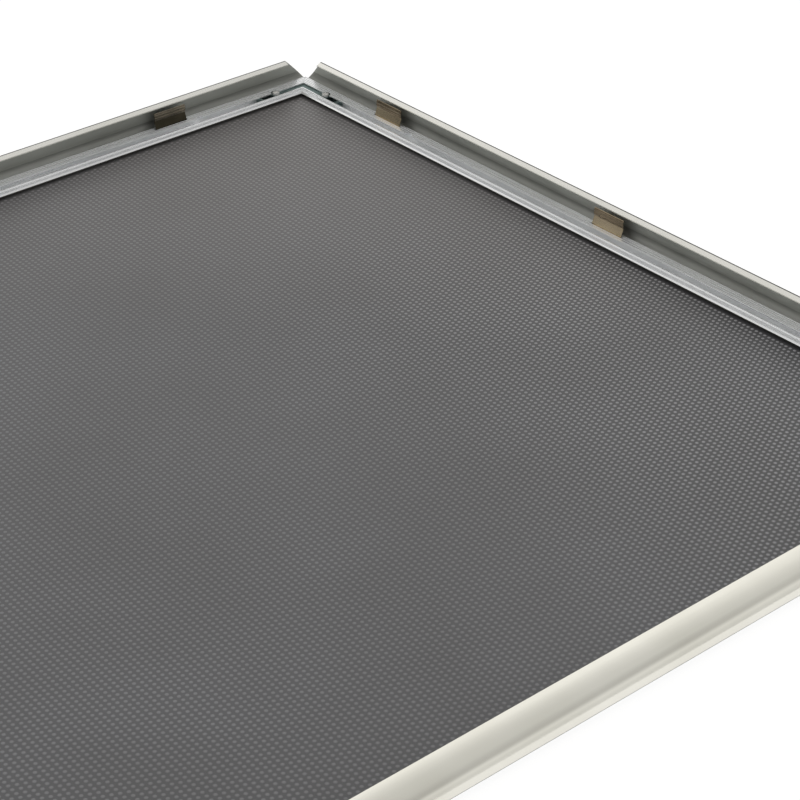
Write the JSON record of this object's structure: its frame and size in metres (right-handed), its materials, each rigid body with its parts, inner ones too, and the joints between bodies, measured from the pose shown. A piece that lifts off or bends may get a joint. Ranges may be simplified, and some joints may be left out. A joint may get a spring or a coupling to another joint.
{
  "type": "snap frame",
  "caption": "Flat front-loading poster frame of mitred aluminium rails whose front rails hinge open on leaf springs, around an embossed backing panel.",
  "frame": {"origin": "centre of the frame on its flat back, between the wall-fixing holes", "axes": "+Z out of the front, +Y along the long side towards the top rail, +X along the short side towards the right rail"},
  "size_m": [0.7315, 1.0335, 0.0273],
  "materials": {
    "rail_aluminium": "satin anodised extrusion",
    "spring_steel": "bronze-tempered spring steel",
    "key_steel": "dark zinc plate",
    "screw_steel": "bright zinc plate",
    "panel_plastic": "satin sheet with a small raised dot pattern"
  },
  "bodies": {
    "frame_base": {"backing_panel": "panel_plastic", "base_rail_left": "rail_aluminium", "base_rail_top": "rail_aluminium", "base_rail_right": "rail_aluminium", "base_rail_bottom": "rail_aluminium", "corner_key_top_left": "key_steel", "corner_key_top_right": "key_steel", "corner_key_bottom_right": "key_steel", "corner_key_bottom_left": "key_steel", "corner_screw_top_left_1": "screw_steel", "corner_screw_top_left_2": "screw_steel", "corner_screw_top_right_1": "screw_steel", "corner_screw_top_right_2": "screw_steel", "corner_screw_bottom_right_1": "screw_steel", "corner_screw_bottom_right_2": "screw_steel", "corner_screw_bottom_left_1": "screw_steel", "corner_screw_bottom_left_2": "screw_steel"},
    "left_front_rail": {"snap_rail_left": "rail_aluminium"},
    "left_springs": {"spring_clip_left_1": "spring_steel", "spring_clip_left_2": "spring_steel", "spring_clip_left_3": "spring_steel", "spring_clip_left_4": "spring_steel"},
    "top_front_rail": {"snap_rail_top": "rail_aluminium"},
    "top_springs": {"spring_clip_top_1": "spring_steel", "spring_clip_top_2": "spring_steel", "spring_clip_top_3": "spring_steel"},
    "right_front_rail": {"snap_rail_right": "rail_aluminium"},
    "right_springs": {"spring_clip_right_1": "spring_steel", "spring_clip_right_2": "spring_steel", "spring_clip_right_3": "spring_steel", "spring_clip_right_4": "spring_steel"},
    "bottom_front_rail": {"snap_rail_bottom": "rail_aluminium"},
    "bottom_springs": {"spring_clip_bottom_1": "spring_steel", "spring_clip_bottom_2": "spring_steel", "spring_clip_bottom_3": "spring_steel"}
  },
  "joints": [
    {"name": "left_rail_hinge", "type": "hinge", "parent": "frame_base", "child": "left_front_rail", "pos_m": [-0.3618, 0, 0.0036], "axis": [0, -1, 0], "range_deg": [-65, 0]},
    {"name": "left_spring_rock", "type": "hinge", "parent": "frame_base", "child": "left_springs", "pos_m": [-0.3564, 0, 0.008], "axis": [0, -1, 0], "range_deg": [-90, 4]},
    {"name": "top_rail_hinge", "type": "hinge", "parent": "frame_base", "child": "top_front_rail", "pos_m": [0, 0.5128, 0.0036], "axis": [-1, 0, 0], "range_deg": [-65, 0]},
    {"name": "top_spring_rock", "type": "hinge", "parent": "frame_base", "child": "top_springs", "pos_m": [0, 0.5074, 0.008], "axis": [-1, 0, 0], "range_deg": [-90, 4]},
    {"name": "right_rail_hinge", "type": "hinge", "parent": "frame_base", "child": "right_front_rail", "pos_m": [0.3618, 0, 0.0036], "axis": [0, 1, 0], "range_deg": [0, 65]},
    {"name": "right_spring_rock", "type": "hinge", "parent": "frame_base", "child": "right_springs", "pos_m": [0.3564, 0, 0.008], "axis": [0, 1, 0], "range_deg": [-4, 90]},
    {"name": "bottom_rail_hinge", "type": "hinge", "parent": "frame_base", "child": "bottom_front_rail", "pos_m": [0, -0.5128, 0.0036], "axis": [1, 0, 0], "range_deg": [0, 65]},
    {"name": "bottom_spring_rock", "type": "hinge", "parent": "frame_base", "child": "bottom_springs", "pos_m": [0, -0.5074, 0.008], "axis": [1, 0, 0], "range_deg": [-4, 90]}
  ],
  "couplings": [
    {"joint": "left_spring_rock", "follows": "left_rail_hinge", "ratio": 1.323},
    {"joint": "top_spring_rock", "follows": "top_rail_hinge", "ratio": 1.323},
    {"joint": "right_spring_rock", "follows": "right_rail_hinge", "ratio": 1.323},
    {"joint": "bottom_spring_rock", "follows": "bottom_rail_hinge", "ratio": 1.323}
  ]
}
